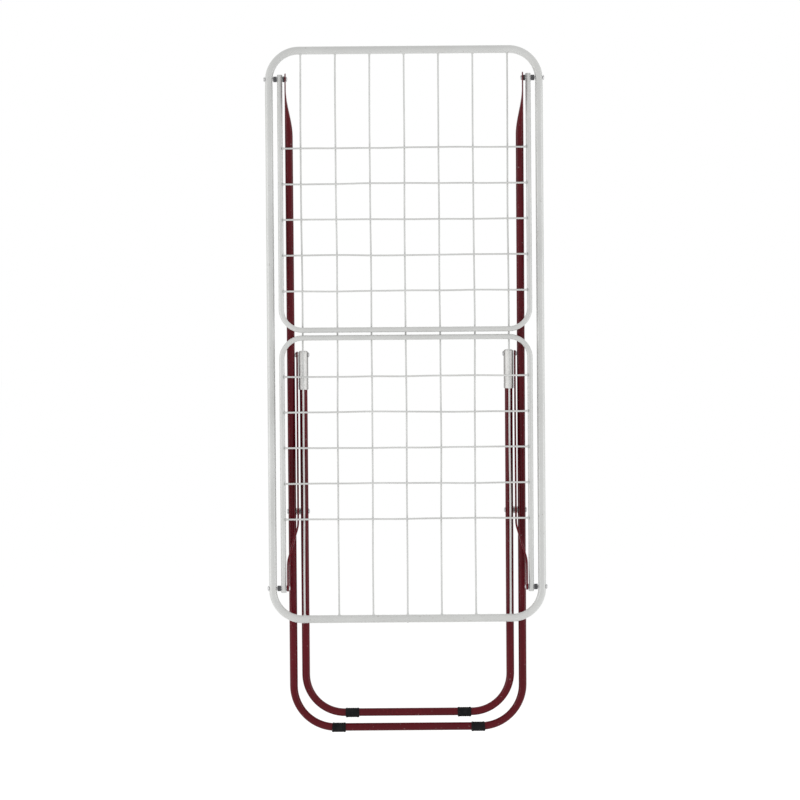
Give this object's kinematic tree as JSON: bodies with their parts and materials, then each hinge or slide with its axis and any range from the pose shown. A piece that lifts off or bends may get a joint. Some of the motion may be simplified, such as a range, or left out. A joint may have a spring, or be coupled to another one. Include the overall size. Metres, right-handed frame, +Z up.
{
  "type": "clothes drying rack",
  "caption": "Folding clothes drying rack with a wire-strung tube frame, hinged wings, and crossed tube legs held by folding links.",
  "frame": {"origin": "where a wall hook carries the folded rack: the middle of the top bar's underside", "axes": "+X to the right seen from the wing side, +Y back towards the legs, +Z up, with the rack folded flat and upright"},
  "size_m": [0.5318, 0.0613, 1.305],
  "materials": {
    "frame_paint": "light grey gloss powder coat",
    "wire_coat": "light grey plastic-dipped steel wire",
    "leg_paint": "dark crimson gloss enamel",
    "rivet_steel": "plated steel",
    "hinge_plastic": "dark grey moulded plastic",
    "cap_plastic": "warm grey moulded plastic",
    "foot_rubber": "black moulded rubber"
  },
  "bodies": {
    "frame": {"main_frame": "frame_paint", "frame_spigot": "rivet_steel", "line_wire_1": "wire_coat", "line_wire_2": "wire_coat", "line_wire_3": "wire_coat", "line_wire_4": "wire_coat", "line_wire_5": "wire_coat", "line_wire_6": "wire_coat", "line_wire_7": "wire_coat", "hinge_pin_upper_left": "rivet_steel", "hinge_pin_upper_right": "rivet_steel", "hinge_pin_lower_left": "rivet_steel", "hinge_pin_lower_right": "rivet_steel", "frame_spacer_upper_left": "hinge_plastic", "frame_spacer_upper_right": "hinge_plastic", "frame_spacer_lower_left": "hinge_plastic", "frame_spacer_lower_right": "hinge_plastic", "wing_washer_upper_left": "hinge_plastic", "wing_washer_upper_right": "hinge_plastic", "wing_washer_lower_left": "hinge_plastic", "wing_washer_lower_right": "hinge_plastic"},
    "upper_wing": {"upper_wing_tube": "frame_paint", "upper_wing_wire_1": "wire_coat", "upper_wing_wire_2": "wire_coat", "upper_wing_wire_3": "wire_coat", "upper_wing_wire_4": "wire_coat", "upper_wing_wire_5": "wire_coat"},
    "lower_wing": {"lower_wing_tube": "frame_paint", "lower_wing_wire_1": "wire_coat", "lower_wing_wire_2": "wire_coat", "lower_wing_wire_3": "wire_coat", "lower_wing_wire_4": "wire_coat", "lower_wing_wire_5": "wire_coat"},
    "outer_leg": {"outer_leg_tube": "leg_paint", "outer_foot_left": "foot_rubber", "cross_rivet_left": "rivet_steel", "cross_bush_left": "cap_plastic", "outer_foot_right": "foot_rubber", "cross_rivet_right": "rivet_steel", "cross_bush_right": "cap_plastic"},
    "inner_leg": {"inner_leg_tube": "leg_paint", "inner_foot_left": "foot_rubber", "inner_leg_cap_left": "cap_plastic", "elbow_pin_left": "rivet_steel", "inner_foot_right": "foot_rubber", "inner_leg_cap_right": "cap_plastic", "elbow_pin_right": "rivet_steel"},
    "link_left": {"link_left": "leg_paint", "link_rivet_left": "rivet_steel"},
    "link_right": {"link_right": "leg_paint", "link_rivet_right": "rivet_steel"}
  },
  "joints": [
    {"name": "leg_fold", "type": "hinge", "parent": "frame", "child": "outer_leg", "pos_m": [0, 0, -0.0465], "axis": [1, 0, 0], "range_deg": [0, 46.48]},
    {"name": "inner_leg_pivot", "type": "hinge", "parent": "outer_leg", "child": "inner_leg", "pos_m": [0, 0.02576, -0.8661], "axis": [1, 0, 0], "range_deg": [0, 76.11]},
    {"name": "link_left_pivot", "type": "hinge", "parent": "frame", "child": "link_left", "pos_m": [0, 0, -1.011], "axis": [-1, 0, 0], "range_deg": [0, 53.5]},
    {"name": "link_right_pivot", "type": "hinge", "parent": "frame", "child": "link_right", "pos_m": [0, 0, -1.011], "axis": [-1, 0, 0], "range_deg": [0, 53.5]},
    {"name": "upper_wing_hinge", "type": "hinge", "parent": "frame", "child": "upper_wing", "pos_m": [0, 0, -0.0465], "axis": [-1, 0, 0], "range_deg": [0, 160]},
    {"name": "lower_wing_hinge", "type": "hinge", "parent": "frame", "child": "lower_wing", "pos_m": [0, 0, -1.011], "axis": [1, 0, 0], "range_deg": [0, 160]}
  ],
  "couplings": [
    {"joint": "inner_leg_pivot", "follows": "leg_fold", "ratio": 1.6376},
    {"joint": "link_left_pivot", "follows": "leg_fold", "ratio": 1.1512},
    {"joint": "link_right_pivot", "follows": "leg_fold", "ratio": 1.1512}
  ]
}
